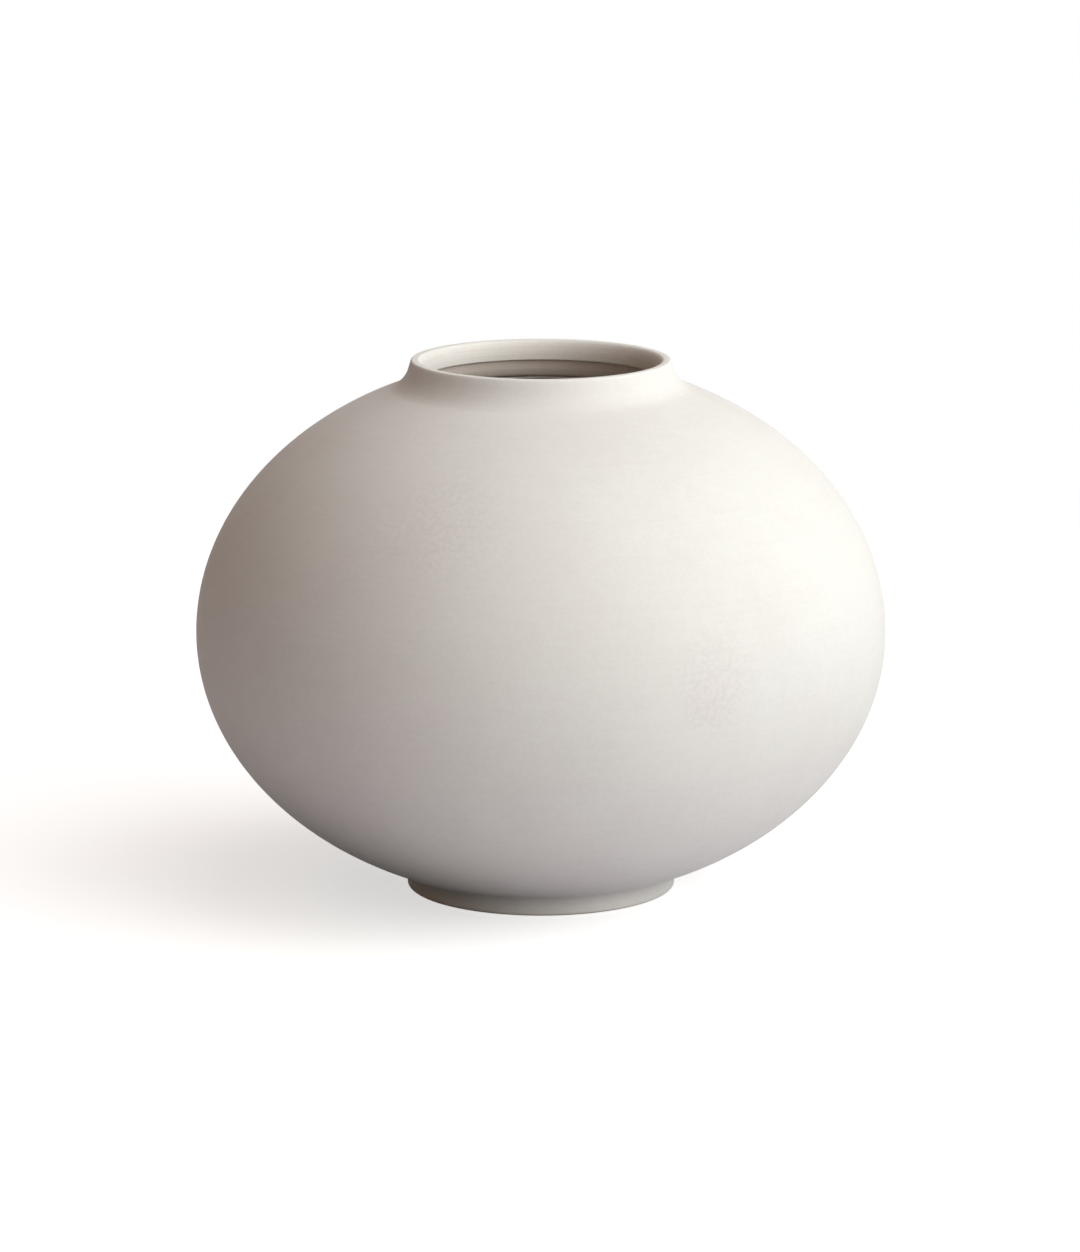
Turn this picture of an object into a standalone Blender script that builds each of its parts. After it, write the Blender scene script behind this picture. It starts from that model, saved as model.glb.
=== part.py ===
"""Wide round ceramic vase, built the way a potter builds one.

Two thrown bowls meet at the belly, a collar stands in a rebate of the shoulder and a turned ring
carries the base. Clay coils fill the belly joint and the foot joint, and a glaze lines the inside.
Metres, +Z up. The origin is the centre of the face that the foot stands on.
"""

import math

import bpy

# Body: two half ellipses that share the belly's radius
BELLY_RADIUS = 0.150
SHOULDER_RISE = 0.118
BELLY_DROP = 0.115
WALL = 0.0065
FLOOR_THICKNESS = 0.008

# Neck: the collar, its lip, the rebate that it stands in and the cove down to the shoulder
RIM_RADIUS = 0.0563
LIP_WIDTH = 0.0058
LIP_ROUND = 0.001
LIP_ROLL_WIDTH = 0.003
LIP_ROLL_HEIGHT = 0.007
COLLAR_RISE = 0.0042
COLLAR_SPLAY = math.radians(18.0)
COLLAR_OVERHANG = 0.0016
SPIGOT_DEPTH = 0.0045
SEAT_WIDTH = 0.0012
NECK_COVE = 0.014

# Foot: the turned ring and the boss of the base that it fits round
FOOT_RADIUS = 0.0586
FOOT_WIDTH = 0.008
FOOT_BAND = 0.0012
FOOT_COVE = 0.007
FOOT_COVE_TURN = math.radians(70.0)
FOOT_ROUND = 0.0012
BOSS_DROP = 0.002

# Joints and coats: SLIP is the film of liquid clay between two joined pieces
SLIP = 0.0003
SEAM_GROOVE = 0.003
FOOT_COIL_RADIUS = 0.003
GLAZE_THICKNESS = 0.0006

# Fineness of the turned surfaces
TURN_STEPS = 48
WALL_STEPS = 10
ROUND_STEPS = 4
ROLL_STEPS = 6

# Finishes: linear colour and roughness
MATT_WHITE = (0.83, 0.80, 0.74, 1.0)
BARE_CLAY = (0.74, 0.68, 0.61, 1.0)
GREY_GLAZE = (0.55, 0.50, 0.45, 1.0)
MATT = 0.85
SATIN = 0.35

# Top of the collar's splayed outside, where the lip's round ends, from the collar's foot
splay_top_radius = RIM_RADIUS - LIP_ROUND * (1.0 - math.cos(COLLAR_SPLAY))
splay_top = COLLAR_RISE - LIP_ROUND * (1.0 - math.sin(COLLAR_SPLAY))

# Radii that mating pieces share
bore_radius = RIM_RADIUS - LIP_WIDTH
collar_radius = splay_top_radius + splay_top * math.tan(COLLAR_SPLAY)
hole_radius = bore_radius + COLLAR_OVERHANG
rebate_radius = hole_radius + SEAT_WIDTH
foot_joint_radius = FOOT_RADIUS + FOOT_COVE * (1.0 - math.cos(FOOT_COVE_TURN))
foot_bore_radius = FOOT_RADIUS - FOOT_WIDTH
groove_radius = BELLY_RADIUS - WALL + SEAM_GROOVE


def wall_height(semi_height, inset, radius):
    """Height over the belly seam of a body wall, set in from the outer ellipse, at a radius."""
    share = radius / (BELLY_RADIUS - inset)
    return (semi_height - inset) * math.sqrt(1.0 - share * share)


def wall_radius(semi_height, inset, height):
    """Radius of a body wall, set in from the outer ellipse, at a height over the belly seam."""
    share = height / (semi_height - inset)
    return (BELLY_RADIUS - inset) * math.sqrt(1.0 - share * share)


def wall_arc(semi_height, inset, start_radius, end_radius, side):
    """Points along a body wall between two radii; side is 1 over the belly seam and -1 under it."""
    start = math.acos(start_radius / (BELLY_RADIUS - inset))
    end = math.acos(end_radius / (BELLY_RADIUS - inset))
    points = []
    for step in range(WALL_STEPS + 1):
        angle = start + (end - start) * step / WALL_STEPS
        radius = (BELLY_RADIUS - inset) * math.cos(angle)
        height = side * (semi_height - inset) * math.sin(angle)
        points.append((radius, height))
    return points


def round_arc(centre, width, height, start, end, steps):
    """Points along an elliptic arc between two angles."""
    points = []
    for step in range(steps + 1):
        angle = start + (end - start) * step / steps
        points.append((centre[0] + width * math.cos(angle), centre[1] + height * math.sin(angle)))
    return points


def cove_centre_and_tilt():
    """Centre of the cove between shoulder and collar, and the angle at which it leaves the shoulder.

    The cove touches both the shoulder and the collar's splayed outside.
    """
    centre_radius = collar_radius + NECK_COVE * math.cos(COLLAR_SPLAY)
    low, high = 0.0, math.pi / 2
    for _ in range(60):
        angle = (low + high) / 2
        radius = BELLY_RADIUS * math.cos(angle)
        height = SHOULDER_RISE * math.sin(angle)
        tilt = math.atan2(math.sin(angle) / SHOULDER_RISE, math.cos(angle) / BELLY_RADIUS)
        centre = (radius + NECK_COVE * math.cos(tilt), height + NECK_COVE * math.sin(tilt))
        if centre[0] > centre_radius:
            low = angle
        else:
            high = angle
    return centre, tilt


cove_centre, cove_tilt = cove_centre_and_tilt()
neck_top = cove_centre[1] - NECK_COVE * math.sin(COLLAR_SPLAY)

# Heights over the floor of the foot ring's cove and of the planes where pieces meet
foot_cove_height = FOOT_ROUND + FOOT_BAND
foot_height = foot_cove_height + FOOT_COVE * math.sin(FOOT_COVE_TURN)
base_height = foot_height + SLIP
seam_height = base_height + wall_height(BELLY_DROP, 0.0, foot_joint_radius)
collar_height = seam_height + neck_top + SLIP
boss_height = base_height - BOSS_DROP


def neck_collar_outline():
    """Splayed collar with a rolled lip and a spigot; height 0 is where its outside meets the shoulder."""
    roll_centre = (bore_radius + LIP_ROLL_WIDTH, COLLAR_RISE - LIP_ROLL_HEIGHT)
    outer_centre = (RIM_RADIUS - LIP_ROUND, COLLAR_RISE - LIP_ROUND)
    spigot_radius = rebate_radius - SLIP
    outline = round_arc(roll_centre, LIP_ROLL_WIDTH, LIP_ROLL_HEIGHT, math.pi, math.pi / 2, ROLL_STEPS)
    outline += round_arc(outer_centre, LIP_ROUND, LIP_ROUND, math.pi / 2, COLLAR_SPLAY, ROUND_STEPS)
    outline += [(collar_radius, 0.0), (spigot_radius, 0.0)]
    outline += [(spigot_radius, -SPIGOT_DEPTH), (bore_radius, -SPIGOT_DEPTH)]
    return outline


def upper_bowl_outline():
    """Shoulder half of the body with the collar's rebate; height 0 is the belly seam."""
    rebate_floor = neck_top - SPIGOT_DEPTH
    groove_top = SLIP / 2 + SEAM_GROOVE
    cove_start = COLLAR_SPLAY + math.pi
    cove = round_arc(cove_centre, NECK_COVE, NECK_COVE, cove_start, cove_tilt + math.pi, ROUND_STEPS)
    seam_radius = wall_radius(SHOULDER_RISE, 0.0, SLIP / 2)
    inner_radius = wall_radius(SHOULDER_RISE, WALL, groove_top)
    outline = cove[:-1]
    outline += wall_arc(SHOULDER_RISE, 0.0, cove[-1][0], seam_radius, 1)
    outline += [(groove_radius, SLIP / 2)]
    outline += wall_arc(SHOULDER_RISE, WALL, inner_radius, hole_radius, 1)
    outline += [(hole_radius, rebate_floor), (rebate_radius, rebate_floor), (rebate_radius, neck_top)]
    return outline


def lower_bowl_outline():
    """Belly half of the body with its floor and base boss; height 0 is the belly seam."""
    base = base_height - seam_height
    boss = boss_height - seam_height
    floor = boss + FLOOR_THICKNESS
    boss_radius = foot_bore_radius - SLIP
    groove_bottom = SLIP / 2 + SEAM_GROOVE
    seam_radius = wall_radius(BELLY_DROP, 0.0, SLIP / 2)
    inner_radius = wall_radius(BELLY_DROP, WALL, groove_bottom)
    floor_radius = wall_radius(BELLY_DROP, WALL, floor)
    outline = [(0.0, floor)]
    outline += wall_arc(BELLY_DROP, WALL, floor_radius, inner_radius, -1)
    outline += [(groove_radius, -SLIP / 2)]
    outline += wall_arc(BELLY_DROP, 0.0, seam_radius, foot_joint_radius, -1)
    outline += [(boss_radius, base), (boss_radius, boss), (0.0, boss)]
    return outline


def belly_seam_coil_outline():
    """Coil in the V groove of the belly joint, flush with the inner wall; height 0 is the seam."""
    face_gap = SLIP * math.sqrt(2.0)
    tip_radius = groove_radius + SLIP / 2 - face_gap
    inner_radius = BELLY_RADIUS - WALL
    half_height = SLIP / 2 + SEAM_GROOVE - face_gap
    return [(tip_radius, 0.0), (inner_radius, -half_height), (inner_radius, half_height)]


def inner_glaze_outline():
    """Coat over the floor, the walls and the underside of the shoulder; height 0 is the belly seam."""
    back = WALL + SLIP
    face = back + GLAZE_THICKNESS
    floor_back = boss_height - seam_height + FLOOR_THICKNESS + SLIP
    floor_face = floor_back + GLAZE_THICKNESS
    back_radius = wall_radius(BELLY_DROP, back, floor_back)
    face_radius = wall_radius(BELLY_DROP, face, floor_face)
    outline = [(0.0, floor_face)]
    outline += wall_arc(BELLY_DROP, face, face_radius, BELLY_RADIUS - face, -1)[:-1]
    outline += wall_arc(SHOULDER_RISE, face, BELLY_RADIUS - face, hole_radius, 1)
    outline += wall_arc(SHOULDER_RISE, back, hole_radius, BELLY_RADIUS - back, 1)[:-1]
    outline += wall_arc(BELLY_DROP, back, BELLY_RADIUS - back, back_radius, -1)
    outline += [(0.0, floor_back)]
    return outline


def foot_ring_outline():
    """Ring with a cove up to the base, a flat standing face and rounded edges; height 0 is the floor."""
    foot_cove_centre = (FOOT_RADIUS + FOOT_COVE, foot_cove_height)
    outer_centre = (FOOT_RADIUS - FOOT_ROUND, FOOT_ROUND)
    inner_centre = (foot_bore_radius + FOOT_ROUND, FOOT_ROUND)
    cove_start = math.pi - FOOT_COVE_TURN
    outline = round_arc(foot_cove_centre, FOOT_COVE, FOOT_COVE, cove_start, math.pi, ROUND_STEPS)
    outline += round_arc(outer_centre, FOOT_ROUND, FOOT_ROUND, 0.0, -math.pi / 2, ROUND_STEPS)
    outline += round_arc(inner_centre, FOOT_ROUND, FOOT_ROUND, -math.pi / 2, -math.pi, ROUND_STEPS)
    outline += [(foot_bore_radius, foot_height)]
    return outline


def foot_seam_coil_outline():
    """Quarter-round coil in the corner of foot ring and base; height 0 is the boss's underside."""
    corner = (foot_bore_radius - SLIP, -SLIP)
    face = round_arc(corner, FOOT_COIL_RADIUS, FOOT_COIL_RADIUS, -math.pi / 2, -math.pi, ROUND_STEPS)
    return [corner] + face


def finish(name, colour, roughness):
    """Plain material with one colour and roughness."""
    material = bpy.data.materials.new(name)
    material.use_nodes = True
    shader = material.node_tree.nodes["Principled BSDF"]
    shader.inputs["Base Color"].default_value = colour
    shader.inputs["Roughness"].default_value = roughness
    shader.inputs["Metallic"].default_value = 0.0
    return material


def turned(name, outline, height, colour, roughness, vase, collection):
    """One turned piece: its outline spun round the vase's axis, standing at a height."""
    mesh = bpy.data.meshes.new(name)
    points = [(radius, 0.0, rise) for radius, rise in outline]
    edges = [(index, index + 1) for index in range(len(points) - 1)]
    starts_on_axis = outline[0][0] == 0.0
    if not starts_on_axis:
        edges.append((len(points) - 1, 0))
    mesh.from_pydata(points, edges, [])
    mesh.materials.append(finish(name + "_finish", colour, roughness))
    piece = bpy.data.objects.new(name, mesh)
    piece.location.z = height
    piece.parent = vase
    collection.objects.link(piece)
    turning = piece.modifiers.new("turning", 'SCREW')
    turning.axis = 'Z'
    turning.steps = TURN_STEPS
    turning.render_steps = TURN_STEPS
    turning.use_merge_vertices = True
    turning.merge_threshold = 0.00001
    turning.use_smooth_shade = True
    return piece


def build_vase():
    for old in list(bpy.data.objects):
        bpy.data.objects.remove(old, do_unlink=True)
    collection = bpy.data.collections.new("ceramic_vase")
    bpy.context.scene.collection.children.link(collection)
    vase = bpy.data.objects.new("vase", None)
    collection.objects.link(vase)
    home = (vase, collection)
    turned("neck_collar", neck_collar_outline(), collar_height, MATT_WHITE, MATT, *home)
    turned("upper_bowl", upper_bowl_outline(), seam_height, MATT_WHITE, MATT, *home)
    turned("lower_bowl", lower_bowl_outline(), seam_height, MATT_WHITE, MATT, *home)
    turned("belly_seam_coil", belly_seam_coil_outline(), seam_height, BARE_CLAY, MATT, *home)
    turned("inner_glaze", inner_glaze_outline(), seam_height, GREY_GLAZE, SATIN, *home)
    turned("foot_ring", foot_ring_outline(), 0.0, MATT_WHITE, MATT, *home)
    turned("foot_seam_coil", foot_seam_coil_outline(), boss_height, BARE_CLAY, MATT, *home)


build_vase()
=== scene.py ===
"""Looks of the wide round ceramic vase: its turned pieces, their finishes, the stage and the camera.

One Geometry Nodes tree spins every piece from its outline and presses in the marks that fingers and
turning tools leave. Metres, +Z up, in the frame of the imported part; the camera looks along +Y.
"""

import math

import bpy
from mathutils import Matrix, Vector


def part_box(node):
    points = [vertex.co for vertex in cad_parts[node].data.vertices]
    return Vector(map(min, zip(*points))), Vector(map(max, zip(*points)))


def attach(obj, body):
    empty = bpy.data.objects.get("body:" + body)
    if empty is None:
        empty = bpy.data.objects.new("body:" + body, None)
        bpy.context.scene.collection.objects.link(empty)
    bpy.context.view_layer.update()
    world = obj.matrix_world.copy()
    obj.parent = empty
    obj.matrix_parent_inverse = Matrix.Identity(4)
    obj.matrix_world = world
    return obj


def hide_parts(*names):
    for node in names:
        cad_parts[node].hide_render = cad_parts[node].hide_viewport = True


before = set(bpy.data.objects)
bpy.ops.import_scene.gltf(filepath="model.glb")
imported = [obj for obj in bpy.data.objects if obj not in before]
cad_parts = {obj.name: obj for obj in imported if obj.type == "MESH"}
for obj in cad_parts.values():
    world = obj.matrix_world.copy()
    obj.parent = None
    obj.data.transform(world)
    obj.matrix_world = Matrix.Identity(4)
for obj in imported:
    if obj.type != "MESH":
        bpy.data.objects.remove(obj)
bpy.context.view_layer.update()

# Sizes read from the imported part
foot_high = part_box("foot_ring")[1]
lower_low, lower_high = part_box("lower_bowl")
upper_low, upper_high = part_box("upper_bowl")
collar_low, collar_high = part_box("neck_collar")
glaze_low, glaze_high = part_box("inner_glaze")
belly_coil_low, belly_coil_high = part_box("belly_seam_coil")
foot_coil_low, foot_coil_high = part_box("foot_seam_coil")
BELLY_RADIUS = upper_high.x
SEAM_HEIGHT = (lower_high.z + upper_low.z) / 2
COLLAR_RADIUS = collar_high.x
RIM_HEIGHT = collar_high.z
NECK_TOP = upper_high.z
COLLAR_BOTTOM = collar_low.z
FOOT_JOINT_RADIUS = foot_high.x
BOSS_HEIGHT = lower_low.z
GLAZE_FLOOR = glaze_low.z
GLAZE_BACK = BELLY_RADIUS - glaze_high.x
FOOT_COIL_OUTER = foot_coil_high.x
FOOT_COIL_TOP = foot_coil_high.z
FOOT_COIL_RADIUS = foot_coil_high.z - foot_coil_low.z
BELLY_COIL_TIP = belly_coil_high.x
BELLY_COIL_HALF = (belly_coil_high.z - belly_coil_low.z) / 2

# Sizes of the clay that the frame's boxes don't show; the splay is in degrees
SHOULDER_RISE = 0.118
BELLY_DROP = 0.115
WALL = 0.0065
GLAZE_THICKNESS = 0.0006
RIM_RADIUS = 0.0563
LIP_ROUND = 0.001
COLLAR_SPLAY = 18.0
LIP_ROLL_WIDTH = 0.003
LIP_ROLL_HEIGHT = 0.007
BORE_RADIUS = 0.0505
HOLE_RADIUS = 0.0521
HOLE_ROUND_WIDTH = 0.0035
HOLE_ROUND_HEIGHT = 0.0045
SPIGOT_RADIUS = 0.053
NECK_COVE = 0.014
FOOT_RADIUS = 0.0586
FOOT_BORE = 0.0506
FOOT_COVE = 0.007
FOOT_ROUND = 0.0012
FLOOR_THICKNESS = 0.008
EDGE_ROUND = 0.0005
JOINT_GAP = 0.0003
GROOVE_TIP = BELLY_COIL_TIP + JOINT_GAP
GROOVE_HALF = BELLY_COIL_HALF + JOINT_GAP
BASE_HEIGHT = SEAM_HEIGHT - BELLY_DROP * math.sqrt(1.0 - (FOOT_JOINT_RADIUS / BELLY_RADIUS) ** 2)

# Fineness of the turned surfaces: steps along an outline, from hidden walls to the smallest rounds
TURN_STEPS = 256
COARSE_STEP = 0.006
FINE_STEP = 0.0013
COVE_STEP = 0.0006
ROUND_STEP = 0.0003
EDGE_STEP = 0.0002
LEAST_ARC_STEPS = 6
TOUCH_HALVINGS = 50
MERGE_DISTANCE = 0.000001
SHARP_ANGLE = math.radians(38.0)

# Marks of making: depths from crest to valley, and pitches
SMOOTH = 0.0
THROWING_PITCH = 0.011
THROWING_DEPTH = 0.00045
TRIMMING_PITCH = 0.0045
TRIMMING_DEPTH = 0.00022
FOOT_LINE_PITCH = 0.0021
FOOT_LINE_DEPTH = 0.00012
BORE_LINE_PITCH = 0.0017
BORE_LINE_DEPTH = 0.00002
PRESS_COUNT = 54
PRESS_DEPTH = 0.0003
OUT_OF_ROUND = 0.0002

# Unevenness: noises as scale and detail, a mark's share over the plain surface, and its fading out
DRIFT_NOISE = (18.0, 1.0)
DRIFT_TURNS = 1.4
SWELL_NOISE = (40.0, 1.0)
LEAST_SWELL = 0.5
CREST_SHARE = 0.5
ROUNDNESS_NOISE = (9.0, 1.0)
FADE_POINTS = 4
FADE_RADIUS = 0.012


class Wire:
    """One output of a node; arithmetic on it adds Math nodes to the same tree."""

    def __init__(self, tree, socket=None):
        self.tree = tree
        self.socket = socket

    def node(self, kind, settings=None, sockets=None, output=0):
        """Add a node, set its settings, then the values or wires of its sockets; return one output."""
        made = self.tree.nodes.new(kind)
        for name, value in (settings or {}).items():
            setattr(made, name, value)
        for name, value in (sockets or {}).items():
            if isinstance(value, Wire):
                self.tree.links.new(value.socket, made.inputs[name])
            else:
                made.inputs[name].default_value = value
        return Wire(self.tree, made.outputs[output] if made.outputs else None)

    def math(self, operation, *values):
        return self.node("ShaderNodeMath", {"operation": operation}, dict(enumerate(values)))

    def __add__(self, other):
        return self.math('ADD', self, other)

    def __radd__(self, other):
        return self.math('ADD', other, self)

    def __sub__(self, other):
        return self.math('SUBTRACT', self, other)

    def __rsub__(self, other):
        return self.math('SUBTRACT', other, self)

    def __mul__(self, other):
        return self.math('MULTIPLY', self, other)

    def __rmul__(self, other):
        return self.math('MULTIPLY', other, self)

    def __truediv__(self, other):
        return self.math('DIVIDE', self, other)

    def __rtruediv__(self, other):
        return self.math('DIVIDE', other, self)

    def floored(self):
        """This value without its fraction."""
        return self.math('FLOOR', self)

    def sine(self):
        """Sine of this angle."""
        return self.math('SINE', self)

    def root(self):
        """Square root of this value."""
        return self.math('SQRT', self)

    def larger(self, other):
        """The larger of two values."""
        return self.math('MAXIMUM', self, other)

    def centred(self):
        """A texture's value from 0 to 1, moved so that its middle is 0."""
        return self - 0.5

    def between(self, start, end):
        """Smooth step of this value from 0 at start to 1 at end."""
        settings = {"interpolation_type": 'SMOOTHSTEP'}
        return self.node("ShaderNodeMapRange", settings, {0: self, 1: start, 2: end})

    def mix(self, low, high):
        """Colour between two colours, with this value as the share of the second."""
        return self.node("ShaderNodeMix", {"data_type": 'RGBA'}, {0: self, 6: low, 7: high}, 2)

    def noise(self, scale, detail=2.0, roughness=0.5):
        """Value of a noise texture at this place."""
        sockets = {"Vector": self, "Scale": scale, "Detail": detail, "Roughness": roughness}
        return self.node("ShaderNodeTexNoise", None, sockets)

    def cells(self, scale, output):
        """Distance to, or random colour of, the nearest of the points strewn at this scale."""
        return self.node("ShaderNodeTexVoronoi", None, {"Vector": self, "Scale": scale}, output)

    def vector(self, operation, other):
        """Vector Math on this vector and another."""
        return self.node("ShaderNodeVectorMath", {"operation": operation}, {0: self, 1: other})

    def scaled(self, factor):
        """This vector times a value."""
        return self.node("ShaderNodeVectorMath", {"operation": 'SCALE'}, {0: self, "Scale": factor})

    def distance(self, point):
        """Distance of this place from a point."""
        return self.node("ShaderNodeVectorMath", {"operation": 'DISTANCE'}, {0: self, 1: point}, "Value")

    def parts(self):
        """The three parts of this vector."""
        outputs = self.node("ShaderNodeSeparateXYZ", None, {0: self}).socket.node.outputs
        return [Wire(self.tree, socket) for socket in outputs]

    def joined(self, x, y, z):
        """Vector of three values."""
        return self.node("ShaderNodeCombineXYZ", None, {0: x, 1: y, 2: z})


# Outlines: lists of stretches, each a list of (radius, height) points and a depth of ring marks


def arc(centre, width, height, start, end, step=FINE_STEP):
    """Points along an elliptic arc between two angles in degrees."""
    length = abs(math.radians(end - start)) * max(width, height)
    count = max(LEAST_ARC_STEPS, math.ceil(length / step))
    points = []
    for index in range(count + 1):
        angle = math.radians(start + (end - start) * index / count)
        points.append((centre[0] + width * math.cos(angle), centre[1] + height * math.sin(angle)))
    return points


def line(start, end, step=FINE_STEP):
    """Points along a straight line."""
    count = max(1, math.ceil(math.dist(start, end) / step))
    points = []
    for index in range(count + 1):
        share = index / count
        points.append(tuple(a + (b - a) * share for a, b in zip(start, end)))
    return points


def wall(semi_height, inset, start_radius, end_radius, side, step=FINE_STEP):
    """Points along a body wall, set in from the outer ellipse; side is 1 over the seam, -1 under it."""
    width = BELLY_RADIUS - inset
    start = math.degrees(math.acos(start_radius / width))
    end = math.degrees(math.acos(end_radius / width))
    return arc((0.0, SEAM_HEIGHT), width, semi_height - inset, side * start, side * end, step)


def wall_radius(semi_height, inset, height):
    """Radius of a body wall at a height over the floor."""
    share = (height - SEAM_HEIGHT) / (semi_height - inset)
    return (BELLY_RADIUS - inset) * math.sqrt(1.0 - share * share)


def cove_centre():
    """Centre of the cove round the neck; the cove runs on from the collar's splayed outside."""
    splay = math.radians(COLLAR_SPLAY)
    return (COLLAR_RADIUS + NECK_COVE * math.cos(splay), NECK_TOP + NECK_COVE * math.sin(splay))


def cove_touch():
    """Angle in degrees, on the cove round the neck, where the cove touches the shoulder."""
    centre = cove_centre()
    low, high = 180.0, 270.0
    for _ in range(TOUCH_HALVINGS):
        angle = (low + high) / 2
        radius = centre[0] + NECK_COVE * math.cos(math.radians(angle))
        height = centre[1] - SEAM_HEIGHT + NECK_COVE * math.sin(math.radians(angle))
        slope = math.degrees(math.atan2(height / SHOULDER_RISE ** 2, radius / BELLY_RADIUS ** 2))
        if angle - 180.0 < slope:
            low = angle
        else:
            high = angle
    return angle


def collar_outline():
    """Rolled lip, splayed outside, joint face, spigot and bore of the collar."""
    roll_centre = (BORE_RADIUS + LIP_ROLL_WIDTH, RIM_HEIGHT - LIP_ROLL_HEIGHT)
    roll = arc(roll_centre, LIP_ROLL_WIDTH, LIP_ROLL_HEIGHT, 180.0, 90.0, ROUND_STEP)
    lip_centre = (RIM_RADIUS - LIP_ROUND, RIM_HEIGHT - LIP_ROUND)
    outer_lip = arc(lip_centre, LIP_ROUND, LIP_ROUND, 90.0, COLLAR_SPLAY, EDGE_STEP)
    edge_centre = (BORE_RADIUS + EDGE_ROUND, COLLAR_BOTTOM + EDGE_ROUND)
    edge = arc(edge_centre, EDGE_ROUND, EDGE_ROUND, 270.0, 180.0, EDGE_STEP)
    return [
        (roll, SMOOTH),
        (line(roll[-1], outer_lip[0]), SMOOTH),
        (outer_lip, SMOOTH),
        (line(outer_lip[-1], (COLLAR_RADIUS, NECK_TOP)), SMOOTH),
        (line((COLLAR_RADIUS, NECK_TOP), (SPIGOT_RADIUS, NECK_TOP)), SMOOTH),
        (line((SPIGOT_RADIUS, NECK_TOP), (SPIGOT_RADIUS, COLLAR_BOTTOM)), SMOOTH),
        (line((SPIGOT_RADIUS, COLLAR_BOTTOM), edge[0]), SMOOTH),
        (edge, SMOOTH),
        (line(edge[-1], roll[0], ROUND_STEP), BORE_LINE_DEPTH),
    ]


def upper_bowl_outline():
    """Cove, shoulder, belly joint with its groove, underside, hole and collar seat of the upper bowl."""
    cove = arc(cove_centre(), NECK_COVE, NECK_COVE, 180.0 + COLLAR_SPLAY, cove_touch(), COVE_STEP)
    shoulder = wall(SHOULDER_RISE, 0.0, cove[-1][0], BELLY_RADIUS, 1)
    groove_tip = (GROOVE_TIP, SEAM_HEIGHT)
    groove_radius = wall_radius(SHOULDER_RISE, WALL, SEAM_HEIGHT + GROOVE_HALF)
    round_radius = HOLE_RADIUS + HOLE_ROUND_WIDTH
    underside = wall(SHOULDER_RISE, WALL, groove_radius, round_radius, 1, COARSE_STEP)
    round_centre = (round_radius, underside[-1][1] + HOLE_ROUND_HEIGHT)
    hole_round = arc(round_centre, HOLE_ROUND_WIDTH, HOLE_ROUND_HEIGHT, 270.0, 180.0, ROUND_STEP)
    return [
        (cove, SMOOTH),
        (shoulder, SMOOTH),
        (line(shoulder[-1], groove_tip), SMOOTH),
        (line(groove_tip, underside[0]), SMOOTH),
        (underside, SMOOTH),
        (hole_round, SMOOTH),
        (line(hole_round[-1], (HOLE_RADIUS, COLLAR_BOTTOM), ROUND_STEP), BORE_LINE_DEPTH),
        (line((HOLE_RADIUS, COLLAR_BOTTOM), (SPIGOT_RADIUS, COLLAR_BOTTOM)), SMOOTH),
        (line((SPIGOT_RADIUS, COLLAR_BOTTOM), (SPIGOT_RADIUS, NECK_TOP)), SMOOTH),
        (line((SPIGOT_RADIUS, NECK_TOP), cove[0]), SMOOTH),
    ]


def lower_bowl_outline():
    """Floor, inside, belly joint with its groove, outside and turned base of the lower bowl."""
    floor = BOSS_HEIGHT + FLOOR_THICKNESS
    floor_radius = wall_radius(BELLY_DROP, WALL, floor)
    groove_tip = (GROOVE_TIP, SEAM_HEIGHT)
    groove_radius = wall_radius(BELLY_DROP, WALL, SEAM_HEIGHT - GROOVE_HALF)
    inside = wall(BELLY_DROP, WALL, floor_radius, groove_radius, -1, COARSE_STEP)
    outside = wall(BELLY_DROP, 0.0, BELLY_RADIUS, FOOT_JOINT_RADIUS, -1)
    return [
        (line((0.0, floor), inside[0], COARSE_STEP), SMOOTH),
        (inside, SMOOTH),
        (line(inside[-1], groove_tip), SMOOTH),
        (line(groove_tip, outside[0]), SMOOTH),
        (outside, SMOOTH),
        (line(outside[-1], (FOOT_BORE, BASE_HEIGHT)), SMOOTH),
        (line((FOOT_BORE, BASE_HEIGHT), (FOOT_BORE, BOSS_HEIGHT)), SMOOTH),
        (line((FOOT_BORE, BOSS_HEIGHT), (0.0, BOSS_HEIGHT), COVE_STEP), TRIMMING_DEPTH),
    ]


def foot_ring_outline():
    """Cove, outside, standing face, bore and joint face of the foot ring."""
    spread = math.degrees(math.acos(1.0 - (FOOT_JOINT_RADIUS - FOOT_RADIUS) / FOOT_COVE))
    cove_height = BASE_HEIGHT - FOOT_COVE * math.sin(math.radians(spread))
    centre = (FOOT_RADIUS + FOOT_COVE, cove_height)
    cove = arc(centre, FOOT_COVE, FOOT_COVE, 180.0 - spread, 180.0, ROUND_STEP)
    outer_centre = (FOOT_RADIUS - FOOT_ROUND, FOOT_ROUND)
    outer = arc(outer_centre, FOOT_ROUND, FOOT_ROUND, 0.0, -90.0, ROUND_STEP)
    inner_centre = (FOOT_BORE + FOOT_ROUND, FOOT_ROUND)
    inner = arc(inner_centre, FOOT_ROUND, FOOT_ROUND, -90.0, -180.0, ROUND_STEP)
    return [
        (cove, SMOOTH),
        (line(cove[-1], outer[0], EDGE_STEP), FOOT_LINE_DEPTH),
        (outer, SMOOTH),
        (line(outer[-1], inner[0]), SMOOTH),
        (inner, SMOOTH),
        (line(inner[-1], (FOOT_BORE, BASE_HEIGHT)), SMOOTH),
        (line((FOOT_BORE, BASE_HEIGHT), cove[0]), SMOOTH),
    ]


def foot_coil_outline():
    """Quarter-round coil in the inner corner of the foot joint."""
    corner = (FOOT_COIL_OUTER, FOOT_COIL_TOP)
    face = arc(corner, FOOT_COIL_RADIUS, FOOT_COIL_RADIUS, -90.0, -180.0, ROUND_STEP)
    return [
        (line(corner, face[0]), SMOOTH),
        (face, PRESS_DEPTH),
        (line(face[-1], corner), SMOOTH),
    ]


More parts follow.
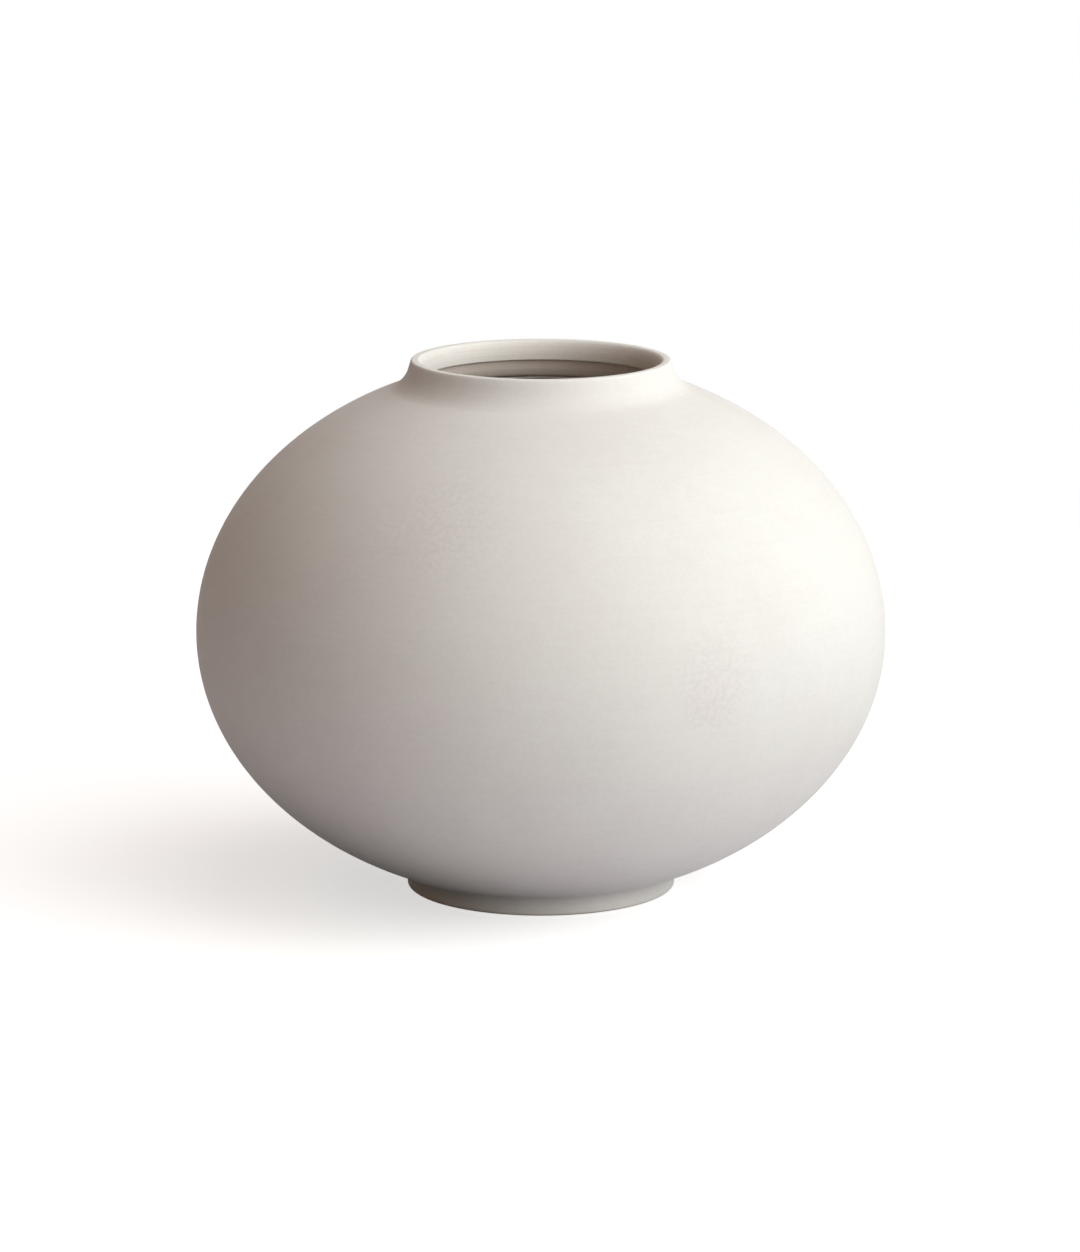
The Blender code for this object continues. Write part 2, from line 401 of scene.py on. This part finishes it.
def belly_coil_outline():
    """Coil in the V groove of the belly joint, with its pressed face inwards."""
    inner = BELLY_RADIUS - WALL
    tip = (BELLY_COIL_TIP, SEAM_HEIGHT)
    low = (inner, SEAM_HEIGHT - BELLY_COIL_HALF)
    high = (inner, SEAM_HEIGHT + BELLY_COIL_HALF)
    return [
        (line(tip, low), SMOOTH),
        (line(low, high, COVE_STEP), SMOOTH),
        (line(high, tip), SMOOTH),
    ]


def glaze_outline():
    """Glaze coat from the middle of the floor up to the edge under the collar, and back behind it."""
    face = GLAZE_BACK + GLAZE_THICKNESS
    floor_face = GLAZE_FLOOR + GLAZE_THICKNESS
    belly_face = BELLY_RADIUS - face
    belly_back = BELLY_RADIUS - GLAZE_BACK
    edge_radius = HOLE_RADIUS + HOLE_ROUND_WIDTH
    back_radius = wall_radius(BELLY_DROP, GLAZE_BACK, GLAZE_FLOOR)
    lower = wall(BELLY_DROP, face, wall_radius(BELLY_DROP, face, floor_face), belly_face, -1)
    upper = wall(SHOULDER_RISE, face, belly_face, edge_radius, 1)
    back_upper = wall(SHOULDER_RISE, GLAZE_BACK, edge_radius, belly_back, 1, COARSE_STEP)
    back_lower = wall(BELLY_DROP, GLAZE_BACK, belly_back, back_radius, -1, COARSE_STEP)
    return [
        (line((0.0, floor_face), lower[0]), THROWING_DEPTH),
        (lower, THROWING_DEPTH),
        (upper, THROWING_DEPTH),
        (line(upper[-1], back_upper[0]), SMOOTH),
        (back_upper, SMOOTH),
        (back_lower, SMOOTH),
        (line(back_lower[-1], (0.0, GLAZE_FLOOR), COARSE_STEP), SMOOTH),
    ]


# Turning: the tree that spins an outline into a piece

TURNING_INPUTS = [
    ("Turn Steps", 'NodeSocketInt'),
    ("Ring Pitch", 'NodeSocketFloat'),
    ("Press Count", 'NodeSocketFloat'),
    ("Out Of Round", 'NodeSocketFloat'),
    ("Seed", 'NodeSocketFloat'),
    ("Finish", 'NodeSocketMaterial'),
]


def turning_tree():
    """Geometry Nodes tree that spins an outline round Z with ring marks, presses and a slight wobble."""
    tree = bpy.data.node_groups.new("turning", 'GeometryNodeTree')
    tree.interface.new_socket("Outline", in_out='INPUT', socket_type='NodeSocketGeometry')
    for name, kind in TURNING_INPUTS:
        tree.interface.new_socket(name, in_out='INPUT', socket_type=kind)
    tree.interface.new_socket("Piece", in_out='OUTPUT', socket_type='NodeSocketGeometry')
    start = tree.nodes.new("NodeGroupInput")
    given = {socket.name: Wire(tree, socket) for socket in start.outputs if socket.name}
    outline = given["Outline"]
    blank = Wire(tree)

    # A grid with a column for each outline point and a row for each step of the turn
    count = blank.node("GeometryNodeAttributeDomainSize", None, {"Geometry": outline}, "Point Count")
    row = given["Turn Steps"] + 1
    sockets = {"Size X": 1.0, "Size Y": 1.0, "Vertices X": count, "Vertices Y": row}
    grid = blank.node("GeometryNodeMeshGrid", None, sockets)
    index = blank.node("GeometryNodeInputIndex")
    along = (index / row).floored()
    angle = (index - along * row) / given["Turn Steps"] * math.tau

    def sampled(value, kind):
        settings = {"data_type": kind, "domain": 'POINT'}
        sockets = {"Geometry": outline, "Value": value, "Index": along}
        return blank.node("GeometryNodeSampleIndex", settings, sockets)

    def stored(name, kind):
        value = blank.node("GeometryNodeInputNamedAttribute", {"data_type": kind}, {"Name": name})
        return sampled(value, kind)

    def spun(vector):
        settings = {"rotation_type": 'Z_AXIS'}
        return blank.node("ShaderNodeVectorRotate", settings, {"Vector": vector, "Angle": angle})

    place = spun(sampled(blank.node("GeometryNodeInputPosition"), 'FLOAT_VECTOR'))
    facing = spun(stored("facing", 'FLOAT_VECTOR'))
    depth = stored("ring_depth", 'FLOAT')
    run = stored("run", 'FLOAT')
    seeded = place.vector('ADD', blank.joined(0.0, 0.0, given["Seed"]))

    # Marks: a spiral of rings, or presses side by side where a count is given
    drift = seeded.noise(*DRIFT_NOISE) * DRIFT_TURNS
    rings = ((run / given["Ring Pitch"] + angle / math.tau + drift) * math.tau).sine()
    presses = (angle * given["Press Count"]).sine()
    pressed = blank.math('MINIMUM', given["Press Count"], 1.0)
    marks = rings + (presses - rings) * pressed
    swell = seeded.noise(*SWELL_NOISE) + LEAST_SWELL
    raised = facing.scaled(marks * depth * swell * CREST_SHARE)

    # Wobble: straight out from the axis, so that the two ends of a closed outline stay together
    wobble = seeded.noise(*ROUNDNESS_NOISE).centred() * given["Out Of Round"]
    outward = place.vector('MULTIPLY', (1.0 / BELLY_RADIUS, 1.0 / BELLY_RADIUS, 0.0))
    final = place.vector('ADD', raised.vector('ADD', outward.scaled(wobble)))

    piece = blank.node("GeometryNodeSetPosition", None, {"Geometry": grid, "Position": final})
    sockets = {"Geometry": piece, "Distance": MERGE_DISTANCE}
    piece = blank.node("GeometryNodeMergeByDistance", None, sockets)
    piece = blank.node("GeometryNodeSetShadeSmooth", None, {"Geometry": piece})
    piece = blank.node("GeometryNodeRealizeInstances", None, {"Geometry": piece})
    sockets = {"Geometry": piece, "Material": given["Finish"]}
    piece = blank.node("GeometryNodeSetMaterial", None, sockets)
    end = tree.nodes.new("NodeGroupOutput")
    tree.links.new(piece.socket, end.inputs["Piece"])
    return tree


def outline_object(name, stretches):
    """Object that holds an outline as a row of points with their facing, run and ring depth."""
    points, facings, depths = [], [], []
    for stretch, depth in stretches:
        last = len(stretch) - 1
        for index, point in enumerate(stretch):
            before = stretch[max(index - 1, 0)]
            after = stretch[min(index + 1, last)]
            across = (before[1] - after[1], after[0] - before[0])
            length = math.hypot(*across)
            end_fade = min(index, last - index, FADE_POINTS) / FADE_POINTS
            axis_fade = min(point[0] / FADE_RADIUS, 1.0)
            points.append(point)
            facings.append((across[0] / length, 0.0, across[1] / length))
            depths.append(depth * end_fade * axis_fade)
    runs = [0.0]
    for before, after in zip(points, points[1:]):
        runs.append(runs[-1] + math.dist(before, after))
    mesh = bpy.data.meshes.new(name)
    mesh.from_pydata([(radius, 0.0, height) for radius, height in points], [], [])
    facing_parts = [part for facing in facings for part in facing]
    mesh.attributes.new("facing", 'FLOAT_VECTOR', 'POINT')
    mesh.attributes["facing"].data.foreach_set("vector", facing_parts)
    mesh.attributes.new("ring_depth", 'FLOAT', 'POINT')
    mesh.attributes["ring_depth"].data.foreach_set("value", depths)
    mesh.attributes.new("run", 'FLOAT', 'POINT')
    mesh.attributes["run"].data.foreach_set("value", runs)
    return bpy.data.objects.new(name, mesh)


def turned_piece(name, node, stretches, finish, seed, ring_pitch=THROWING_PITCH, press_count=0):
    """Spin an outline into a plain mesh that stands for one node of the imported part."""
    piece = outline_object(name, stretches)
    bpy.context.scene.collection.objects.link(piece)
    turning = piece.modifiers.new("turning", 'NODES')
    turning.node_group = TURNING
    values = {
        "Turn Steps": TURN_STEPS,
        "Ring Pitch": ring_pitch,
        "Press Count": float(press_count),
        "Out Of Round": OUT_OF_ROUND,
        "Seed": float(seed),
        "Finish": finish,
    }
    for item in TURNING.interface.items_tree:
        if item.in_out == 'INPUT' and item.name in values:
            turning[item.identifier] = values[item.name]
    bpy.context.view_layer.update()
    evaluated = piece.evaluated_get(bpy.context.evaluated_depsgraph_get())
    mesh = bpy.data.meshes.new_from_object(evaluated)
    piece.modifiers.remove(turning)
    outline = piece.data
    piece.data = mesh
    bpy.data.meshes.remove(outline)
    mesh.name = name
    mesh.set_sharp_from_angle(angle=SHARP_ANGLE)
    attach(piece, "root")
    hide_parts(node)
    return piece


# Finishes: colours
SLIP_WHITE = (0.85, 0.84, 0.80, 1.0)
SLIP_GREY = (0.80, 0.785, 0.745, 1.0)
# Painted highlight: the top of the lip is lighter than the slip, for light falling on it
LIP_HIGHLIGHT_WHITE = (0.90, 0.89, 0.85, 1.0)
# Painted light: a lighter, warmer copy of the slip for the collar's bore, for light and warm bounce on its
# inner wall
BORE_PAINTED_LIGHT_SLIP = (0.91, 0.872, 0.825, 1.0)
BORE_PAINTED_LIGHT_GREY = (0.865, 0.815, 0.76, 1.0)
PINK_SLIP = (0.82, 0.757, 0.745, 1.0)
PINK_SPECK = (0.70, 0.635, 0.61, 1.0)
BARE_CLAY = (0.66, 0.57, 0.49, 1.0)
BARE_CLAY_DARK = (0.55, 0.46, 0.39, 1.0)
# Painted shade: darker brown on the hole's wall in the recess under the collar; painted light: paler on its
# lower round
HOLE_PAINTED_SHADE = (0.63, 0.54, 0.485, 1.0)
HOLE_ROUND_PAINTED_LIGHT = (0.90, 0.82, 0.745, 1.0)
# Painted light: paler glaze near the mouth, where the lining lies in shade under the shoulder
GLAZE_MOUTH_PAINTED_LIGHT = (0.84, 0.78, 0.715, 1.0)
GLAZE_PALE = (0.77, 0.695, 0.625, 1.0)
GLAZE_POOLED = (0.65, 0.575, 0.505, 1.0)

# Finishes: noises, as scale, detail and, where it isn't 0.5, roughness
CLOUDS = (16.0, 5.0, 0.62)
MOTTLE = (150.0, 3.0, 0.6)
GRAIN = (1400.0, 2.0, 0.6)
TURNED_LINES = (1.0, 3.0, 0.6)
STAINS = (7.0, 2.0)
BLUSH = (30.0, 4.0, 0.6)
SPECKS = (520.0, 2.0, 0.6)
RAGGED_EDGE = (60.0, 3.0)
GLAZE_CLOUDS = (24.0, 3.0)
GLAZE_RIPPLES = (300.0, 2.0)
COIL_GRAIN = (900.0, 2.0)
COIL_SMEARS = (90.0, 3.0)
PINHOLE_SCALE = 260.0

# Finishes: turning lines, as noise repeats per metre round the axis and per radian or metre upwards
LINE_SPREAD = 14.0
LINES_PER_RADIAN = 95.0
BORE_LINE_SPREAD = 9.0
BORE_LINES_PER_METRE = 1300.0

# Finishes: zones by height or by distance from the axis, as where a zone starts and where it is full
NECK_ZONE = (COLLAR_BOTTOM - 0.024, COLLAR_BOTTOM - 0.014)
BORE_ZONE = (RIM_RADIUS - 0.0015, RIM_RADIUS - 0.0035)
LIP_HIGHLIGHT_ZONE = (RIM_HEIGHT - 0.0016, RIM_HEIGHT - 0.0006)
HOLE_TOP_ZONE = (COLLAR_BOTTOM, COLLAR_BOTTOM - 0.0003)
HOLE_BACK_ZONE = (HOLE_RADIUS + 0.0045, HOLE_RADIUS + 0.004)
HOLE_ROUND_LIGHT_ZONE = (COLLAR_BOTTOM - 0.0045, COLLAR_BOTTOM - 0.007)
WIPED_ZONE = (0.0009, 0.0003)
UNDER_BORE_ZONE = (FOOT_BORE + 0.0012, FOOT_BORE)
UNDER_BASE_ZONE = (BASE_HEIGHT, BOSS_HEIGHT)
GLAZE_MOUTH_LIGHT_ZONE = (RIM_HEIGHT - 0.035, RIM_HEIGHT - 0.022)

# Finishes: ranges of a texture's value, from where it starts to show to where it shows in full
TONE_RANGE = (0.0, 1.0)
STAIN_RANGE = (0.60, 0.75)
BLUSH_RANGE = (0.40, 0.68)
SPECK_RANGE = (0.36, 0.66)
PATCH_RANGE = (1.3, 0.3)
BARE_RANGE = (0.4, 0.8)
POOLED_RANGE = (0.35, 0.7)
SMEARED_RANGE = (0.35, 0.7)
PINHOLE_RANGE = (0.10, 0.02)
PINHOLE_PICK = (0.86, 0.87)

# Finishes: weights of the textures in tone, tint and relief
CLOUD_TONE = 1.1
MOTTLE_TONE = 0.5
GRAIN_TONE = 0.25
LINE_TONE = 0.6
BORE_LINE_TONE = 3.0
TONE_LEVEL = 0.35
STAIN_SHARE = 0.3
BLUSH_SHARE = 0.2
SPECK_SHARE = 0.10
THIN_SPECK_SHARE = 0.24
RAGGEDNESS = 1.4
BARE_GRAIN_TONE = 0.7
BARE_CLOUD_TONE = 0.5
GRAIN_RELIEF = 0.55
LINE_RELIEF = 0.3
PINHOLE_RELIEF = 0.6
GLAZE_CLOUD_TONE = 0.6
GLAZE_LINE_TONE = 0.4
COIL_GRAIN_TONE = 0.5
COIL_SMEAR_TONE = 0.5
COIL_GRAIN_RELIEF = 0.6
COIL_SMEAR_RELIEF = 0.4

# Finishes: gloss, and depths of relief in metres
SLIP_ROUGHNESS = 0.80
SLIP_ROUGHNESS_SPREAD = 0.12
SLIP_SPECULAR = 0.25
GLAZE_ROUGHNESS = 0.28
GLAZE_ROUGHNESS_SPREAD = 0.2
COIL_ROUGHNESS = 0.85
COIL_ROUGHNESS_SPREAD = 0.1
SLIP_RELIEF_DEPTH = 0.00012
GLAZE_RELIEF_DEPTH = 0.00008
COIL_RELIEF_DEPTH = 0.0002

# Thin patches on the front: azimuth in degrees, height over the seam, half width and height, tint and
# speckle
THIN_PATCHES = [
    (29.0, 0.005, 0.018, 0.025, 0.36, 0.9),
    (-21.0, 0.068, 0.032, 0.024, 0.06, 0.55),
]


def new_material(name):
    """Material with an empty tree, and a wire to build it with."""
    material = bpy.data.materials.new(name)
    material.use_nodes = True
    material.node_tree.nodes.clear()
    return material, Wire(material.node_tree)


def close_material(blank, sockets):
    """Principled shader with these sockets, wired to the material's output."""
    shader = blank.node("ShaderNodeBsdfPrincipled", None, sockets)
    blank.node("ShaderNodeOutputMaterial", None, {"Surface": shader})


def bumped(height, depth):
    """Normal of a surface raised by a height from 0 to 1 times a depth in metres."""
    return height.node("ShaderNodeBump", None, {"Strength": 1.0, "Distance": depth, "Height": height})


def clay_place(blank):
    """Place on a piece, its distance from the vase's axis and its height over the floor."""
    place = blank.node("ShaderNodeTexCoord", output="Object")
    x, y, height = place.parts()
    return place, (x * x + y * y).root(), height


def on_wall(azimuth, height):
    """Point of the outer wall at an azimuth in degrees, 0 facing the camera, and a height over the seam."""
    semi_height = SHOULDER_RISE if height > 0.0 else BELLY_DROP
    radius = wall_radius(semi_height, 0.0, SEAM_HEIGHT + height)
    turn = math.radians(azimuth)
    return Vector((radius * math.sin(turn), -radius * math.cos(turn), SEAM_HEIGHT + height))


def oval_patch(place, centre, half_width, half_height):
    """Share from 0 to 1 of an upright oval on the wall with a ragged edge."""
    squash = Vector((1.0, 1.0, half_width / half_height))
    reach = place.vector('MULTIPLY', squash).distance(centre * squash) / half_width
    ragged = reach + place.noise(*RAGGED_EDGE).centred() * RAGGEDNESS
    return ragged.between(*PATCH_RANGE)


def turned_lines(place, axis_distance, height):
    """Fine lines round the axis, such as a sponge or rib leaves on the wheel."""
    latitude = height.math('ARCTAN2', height - SEAM_HEIGHT, axis_distance)
    x, y, _ = place.parts()
    rows = place.joined(x * LINE_SPREAD, y * LINE_SPREAD, latitude * LINES_PER_RADIAN)
    return rows.noise(*TURNED_LINES)


def slip_lines(place, axis_distance, height, bore):
    """Turning lines of the slip, level and closer together in the collar's bore."""
    lines = turned_lines(place, axis_distance, height)
    x, y, _ = place.parts()
    rows = place.joined(x * BORE_LINE_SPREAD, y * BORE_LINE_SPREAD, height * BORE_LINES_PER_METRE)
    return lines + (rows.noise(*TURNED_LINES) - lines) * bore


def with_hole(colour, axis_distance, height):
    """Colour with painted shade, a darker brown, on the hole's wall under the collar, and painted light, a
    paler colour, on its lower round.
    """
    hole = height.between(*NECK_ZONE) * height.between(*HOLE_TOP_ZONE)
    hole = hole * axis_distance.between(*HOLE_BACK_ZONE)
    # Painted shade on the hole's wall, fading to painted light on its lower round
    return hole.mix(colour, height.between(*HOLE_ROUND_LIGHT_ZONE).mix(HOLE_PAINTED_SHADE, HOLE_ROUND_PAINTED_LIGHT))


def with_thin_slip(colour, place):
    """Colour with the pink of the clay in blushes, stains, specks and patches of thin slip."""
    tint = place.noise(*STAINS).between(*STAIN_RANGE) * STAIN_SHARE
    speckle = tint
    for azimuth, height, half_width, half_height, tint_share, speckle_share in THIN_PATCHES:
        patch = oval_patch(place, on_wall(azimuth, height), half_width, half_height)
        tint = tint.larger(patch * tint_share)
        speckle = speckle.larger(patch * speckle_share)
    blush = place.noise(*BLUSH).between(*BLUSH_RANGE) * BLUSH_SHARE
    colour = blush.larger(tint).mix(colour, PINK_SLIP)
    specks = place.noise(*SPECKS).between(*SPECK_RANGE)
    return (specks * (SPECK_SHARE + speckle * THIN_SPECK_SHARE)).mix(colour, PINK_SPECK)


def with_bare_clay(colour, axis_distance, height, grain, clouds):
    """Colour with bare clay on the wiped edge of the foot and under the base."""
    under = axis_distance.between(*UNDER_BORE_ZONE) * height.between(*UNDER_BASE_ZONE)
    bare = height.between(*WIPED_ZONE).larger(under)
    tone = (grain * BARE_GRAIN_TONE + clouds * BARE_CLOUD_TONE).between(*BARE_RANGE)
    return bare.mix(colour, tone.mix(BARE_CLAY, BARE_CLAY_DARK))


def white_slip():
    """Matt off-white slip over pink clay: clouds, thin patches, turning lines, grain and pinholes; painted
    light on the lip, in the bore and on the hole's lower round, painted shade on the hole's wall.
    """
    material, blank = new_material("white_slip")
    place, axis_distance, height = clay_place(blank)
    clouds = place.noise(*CLOUDS)
    mottle = place.noise(*MOTTLE)
    grain = place.noise(*GRAIN)
    bore = axis_distance.between(*BORE_ZONE) * height.between(*NECK_ZONE)
    lines = slip_lines(place, axis_distance, height, bore)

    tone = clouds.centred() * CLOUD_TONE + mottle.centred() * MOTTLE_TONE + grain.centred() * GRAIN_TONE
    tone = tone + lines.centred() * (LINE_TONE + bore * BORE_LINE_TONE) + TONE_LEVEL
    shade = tone.between(*TONE_RANGE)
    # In the bore the slip takes its lighter, warmer copy: painted light on the inner wall
    colour = bore.mix(shade.mix(SLIP_WHITE, SLIP_GREY), shade.mix(BORE_PAINTED_LIGHT_SLIP, BORE_PAINTED_LIGHT_GREY))
    # Painted highlight along the top of the lip
    colour = height.between(*LIP_HIGHLIGHT_ZONE).mix(colour, LIP_HIGHLIGHT_WHITE)
    colour = with_hole(colour, axis_distance, height)
    colour = with_thin_slip(colour, place)
    colour = with_bare_clay(colour, axis_distance, height, grain, clouds)

    pits = place.cells(PINHOLE_SCALE, "Distance").between(*PINHOLE_RANGE)
    picked = place.cells(PINHOLE_SCALE, "Color").parts()[0].between(*PINHOLE_PICK)
    relief = grain * GRAIN_RELIEF + lines * LINE_RELIEF - picked * pits * PINHOLE_RELIEF
    sockets = {
        "Base Color": colour,
        "Roughness": SLIP_ROUGHNESS + clouds * SLIP_ROUGHNESS_SPREAD,
        "Specular IOR Level": SLIP_SPECULAR,
        "Normal": bumped(relief, SLIP_RELIEF_DEPTH),
    }
    close_material(blank, sockets)
    return material


def liner_glaze():
    """Satin warm grey glaze, darker in cloudy bands, with painted light making it paler towards the mouth.
    """
    material, blank = new_material("liner_glaze")
    place, axis_distance, height = clay_place(blank)
    clouds = place.noise(*GLAZE_CLOUDS)
    lines = turned_lines(place, axis_distance, height)
    tone = clouds * GLAZE_CLOUD_TONE + lines * GLAZE_LINE_TONE
    colour = tone.between(*POOLED_RANGE).mix(GLAZE_PALE, GLAZE_POOLED)
    sockets = {
        # Painted light near the mouth
        "Base Color": height.between(*GLAZE_MOUTH_LIGHT_ZONE).mix(colour, GLAZE_MOUTH_PAINTED_LIGHT),
        "Roughness": GLAZE_ROUGHNESS + clouds * GLAZE_ROUGHNESS_SPREAD,
        "Normal": bumped(place.noise(*GLAZE_RIPPLES), GLAZE_RELIEF_DEPTH),
    }
    close_material(blank, sockets)
    return material


def coil_clay():
    """Bare pressed clay of the seam coils, sandy and finger-smeared."""
    material, blank = new_material("coil_clay")
    place = blank.node("ShaderNodeTexCoord", output="Object")
    grain = place.noise(*COIL_GRAIN)
    smears = place.noise(*COIL_SMEARS)
    tone = grain * COIL_GRAIN_TONE + smears * COIL_SMEAR_TONE
    relief = grain * COIL_GRAIN_RELIEF + smears * COIL_SMEAR_RELIEF
    sockets = {
        "Base Color": tone.between(*SMEARED_RANGE).mix(BARE_CLAY, BARE_CLAY_DARK),
        "Roughness": COIL_ROUGHNESS + smears * COIL_ROUGHNESS_SPREAD,
        "Normal": bumped(relief, COIL_RELIEF_DEPTH),
    }
    close_material(blank, sockets)
    return material


# Stage and camera
CAMERA_ELEVATION = math.radians(11.97)
CAMERA_DISTANCE = 2.378
CAMERA_LENS = 156.9
CAMERA_SENSOR = 36.0
AIM_OVER_SEAM = 0.0015
AIM_SIDE = -0.0004
WHITE = (1.0, 1.0, 1.0, 1.0)
FLOOR_RADIUS = 14.0
FLOOR_SIDES = 96
FLOOR_COLOUR = (0.8, 0.8, 0.8, 1.0)
FLOOR_LIFT = 0.62
SHADOW_REACH = 0.45
WHITE_FROM = 1.0

# Light that the floor throws back on the clay, less of it beside the foot on the shaded side
FLOOR_BOUNCE = (0.655, 0.64, 0.70, 1.0)
CONTACT_BOUNCE = (0.03, 0.024, 0.022, 1.0)
CONTACT_CENTRE = (-0.085, 0.0, 0.0)
CONTACT_RADIUS = 0.07
CONTACT_FADE = 0.148

# Lamps: name, azimuth and elevation in degrees, width, height, watts and colour; and the fill round them
LAMP_DISTANCE = 2.4
LAMPS = [
    ("window", 45.0, 20.0, 3.0, 1.8, 29.3, (0.985, 1.0, 1.0)),
    ("skylight", 75.0, 40.0, 3.0, 3.0, 31.0, (0.845, 1.0, 0.93)),
    ("overhead", 90.0, 65.0, 3.0, 3.0, 27.0, (0.94, 0.89, 1.0)),
]
FILL_COLOUR = (1.0, 0.68, 0.44, 1.0)
FILL_STRENGTH = 0.168


def seen_directly(blank):
    """1 on rays that show the stage as a picture: from the camera, in gloss or through glass."""
    camera = blank.node("ShaderNodeLightPath", output="Is Camera Ray")
    rays = camera.socket.node.outputs
    glossy = Wire(blank.tree, rays["Is Glossy Ray"])
    through = Wire(blank.tree, rays["Is Transmission Ray"])
    return camera.larger(glossy.larger(through))


def make_floor():
    """Pale floor that keeps the vase's shadow and runs out to plain white."""
    material, blank = new_material("studio_floor")
    place = blank.node("ShaderNodeTexCoord", output="Object")
    shaded = blank.node("ShaderNodeBsdfDiffuse", None, {"Color": FLOOR_COLOUR})
    lift = blank.node("ShaderNodeEmission", None, {"Color": WHITE, "Strength": FLOOR_LIFT})
    near = blank.node("ShaderNodeAddShader", None, {0: shaded, 1: lift})
    far = blank.node("ShaderNodeEmission", None, {"Color": WHITE, "Strength": 1.0})
    away = place.distance((0.0, 0.0, 0.0)).between(SHADOW_REACH, WHITE_FROM)
    shown = blank.node("ShaderNodeMixShader", None, {0: away, 1: near, 2: far})
    open_floor = place.distance(CONTACT_CENTRE).between(CONTACT_RADIUS, CONTACT_FADE)
    bounce = open_floor.mix(CONTACT_BOUNCE, FLOOR_BOUNCE)
    plain = blank.node("ShaderNodeBsdfDiffuse", None, {"Color": bounce})
    surface = blank.node("ShaderNodeMixShader", None, {0: seen_directly(blank), 1: plain, 2: shown})
    blank.node("ShaderNodeOutputMaterial", None, {"Surface": surface})
    bpy.ops.mesh.primitive_circle_add(vertices=FLOOR_SIDES, radius=FLOOR_RADIUS, fill_type='NGON')
    floor = bpy.context.object
    floor.name = "studio_floor"
    floor.data.materials.append(material)


def make_world():
    """White surroundings to the eye, a dim warm fill to the clay."""
    world = bpy.data.worlds.new("studio")
    bpy.context.scene.world = world
    world.use_nodes = True
    world.node_tree.nodes.clear()
    blank = Wire(world.node_tree)
    sockets = {"Color": FILL_COLOUR, "Strength": FILL_STRENGTH}
    fill = blank.node("ShaderNodeBackground", None, sockets)
    white = blank.node("ShaderNodeBackground", None, {"Color": WHITE, "Strength": 1.0})
    shown = blank.node("ShaderNodeMixShader", None, {0: seen_directly(blank), 1: fill, 2: white})
    blank.node("ShaderNodeOutputWorld", None, {"Surface": shown})


def make_lamps():
    """Three large soft sources on the right: low beside the camera, at the side and high over it."""
    middle = Vector((0.0, 0.0, SEAM_HEIGHT))
    for name, azimuth, elevation, width, tall, power, colour in LAMPS:
        turn = math.radians(azimuth)
        tilt = math.radians(elevation)
        reach = math.cos(tilt)
        direction = Vector((math.sin(turn) * reach, -math.cos(turn) * reach, math.sin(tilt)))
        lamp = bpy.data.lights.new(name, 'AREA')
        lamp.shape = 'RECTANGLE'
        lamp.size = width
        lamp.size_y = tall
        lamp.energy = power
        lamp.color = colour
        source = bpy.data.objects.new(name, lamp)
        source.location = middle + direction * LAMP_DISTANCE
        source.rotation_euler = direction.to_track_quat('Z', 'Y').to_euler()
        bpy.context.scene.collection.objects.link(source)


def make_camera():
    """Camera at the photograph's viewing angle."""
    data = bpy.data.cameras.new("camera")
    data.lens = CAMERA_LENS
    data.sensor_width = CAMERA_SENSOR
    camera = bpy.data.objects.new("camera", data)
    back = Vector((0.0, -math.cos(CAMERA_ELEVATION), math.sin(CAMERA_ELEVATION)))
    aim = Vector((AIM_SIDE, 0.0, SEAM_HEIGHT + AIM_OVER_SEAM))
    camera.location = aim + back * CAMERA_DISTANCE
    camera.rotation_euler = back.to_track_quat('Z', 'Y').to_euler()
    bpy.context.scene.collection.objects.link(camera)
    bpy.context.scene.camera = camera


# The pieces: those of one seed wobble together, so the outside runs on from piece to piece
OUTSIDE_SEED = 1
LINING_SEED = 2
BELLY_COIL_SEED = 3
FOOT_COIL_SEED = 4
TURNING = turning_tree()
slip = white_slip()
glaze = liner_glaze()
clay = coil_clay()
outside_pieces = [
    ("collar", "neck_collar", collar_outline(), BORE_LINE_PITCH),
    ("shoulder_bowl", "upper_bowl", upper_bowl_outline(), BORE_LINE_PITCH),
    ("belly_bowl", "lower_bowl", lower_bowl_outline(), TRIMMING_PITCH),
    ("foot", "foot_ring", foot_ring_outline(), FOOT_LINE_PITCH),
]
for name, node, stretches, ring_pitch in outside_pieces:
    turned_piece(name, node, stretches, slip, OUTSIDE_SEED, ring_pitch)
turned_piece("lining", "inner_glaze", glaze_outline(), glaze, LINING_SEED)
turned_piece("belly_coil", "belly_seam_coil", belly_coil_outline(), clay, BELLY_COIL_SEED)
turned_piece("foot_coil", "foot_seam_coil", foot_coil_outline(), clay, FOOT_COIL_SEED,
             press_count=PRESS_COUNT)

make_floor()
make_world()
make_lamps()
make_camera()
bpy.context.scene.view_settings.view_transform = 'Standard'
